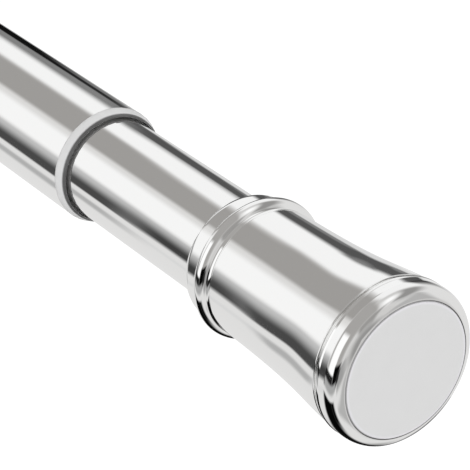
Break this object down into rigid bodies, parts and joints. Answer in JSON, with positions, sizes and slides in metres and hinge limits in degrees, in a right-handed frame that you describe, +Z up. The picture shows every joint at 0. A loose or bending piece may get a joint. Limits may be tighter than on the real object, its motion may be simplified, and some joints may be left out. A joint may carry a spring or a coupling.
{
  "type": "shower curtain rod",
  "caption": "Telescoping shower curtain rod: two chrome tubes with a pale guide collar, flared end caps with soft wall pads, and a twist lock with a spring inside.",
  "frame": {"origin": "centre of the far wall pad's face, where it meets its wall", "axes": "+X along the rod's axis from the far wall to the near one, +Z up, +Y level across the rod"},
  "size_m": [1.099, 0.0352, 0.0352],
  "materials": {
    "tube_chrome": "bright polished chrome plate",
    "cap_chrome": "bright polished chrome plate on a moulded cap",
    "pad_rubber": "matt light grey soft pad",
    "collar_plastic": "milky, slightly see-through plastic",
    "white_nylon": "natural white moulded nylon",
    "grey_nylon": "dark grey moulded nylon",
    "cast_zinc": "as cast zinc alloy",
    "black_rubber": "black rubber ring",
    "plated_steel": "turned steel, zinc plated",
    "spring_steel": "drawn spring wire"
  },
  "bodies": {
    "outer_tube": {"outer_tube": "tube_chrome", "mouth_collar": "collar_plastic", "far_tube_plug": "white_nylon", "far_end_cap": "cap_chrome", "far_wall_pad": "pad_rubber"},
    "grip_sleeve": {"grip_sleeve": "grey_nylon", "drag_ring": "black_rubber"},
    "wedge_nut": {"wedge_nut": "cast_zinc"},
    "guide_ring": {"guide_ring": "white_nylon"},
    "feed_spindle": {"feed_spindle": "plated_steel", "tail_clip": "spring_steel", "spring_washer": "plated_steel", "tension_spring": "spring_steel", "retaining_washer": "plated_steel", "retaining_nut": "plated_steel"},
    "inner_tube": {"inner_tube": "tube_chrome", "drive_plug": "white_nylon", "near_tube_plug": "white_nylon", "near_end_cap": "cap_chrome", "near_wall_pad": "pad_rubber"}
  },
  "joints": [
    {"name": "telescope", "type": "slide", "parent": "outer_tube", "child": "grip_sleeve", "axis": [1, 0, 0], "range_m": [-0.032, 0.714]},
    {"name": "wedge_seat", "type": "slide", "parent": "grip_sleeve", "child": "wedge_nut", "axis": [-1, 0, 0], "range_m": [0, 0.0015]},
    {"name": "thread_feed", "type": "slide", "parent": "wedge_nut", "child": "guide_ring", "axis": [1, 0, 0], "range_m": [0, 0.016]},
    {"name": "twist", "type": "hinge", "parent": "guide_ring", "child": "feed_spindle", "pos_m": [0.1349, 0, 0], "axis": [1, 0, 0], "range_deg": [0, 2880]},
    {"name": "spring_push", "type": "slide", "parent": "feed_spindle", "child": "inner_tube", "axis": [-1, 0, 0], "range_m": [0, 0.012], "stiffness_N_per_m": 6300, "springref_m": -0.005, "deforming": ["tension_spring"]}
  ],
  "couplings": [
    {"joint": "thread_feed", "follows": "twist", "m_per_rad": 0.00031831}
  ]
}
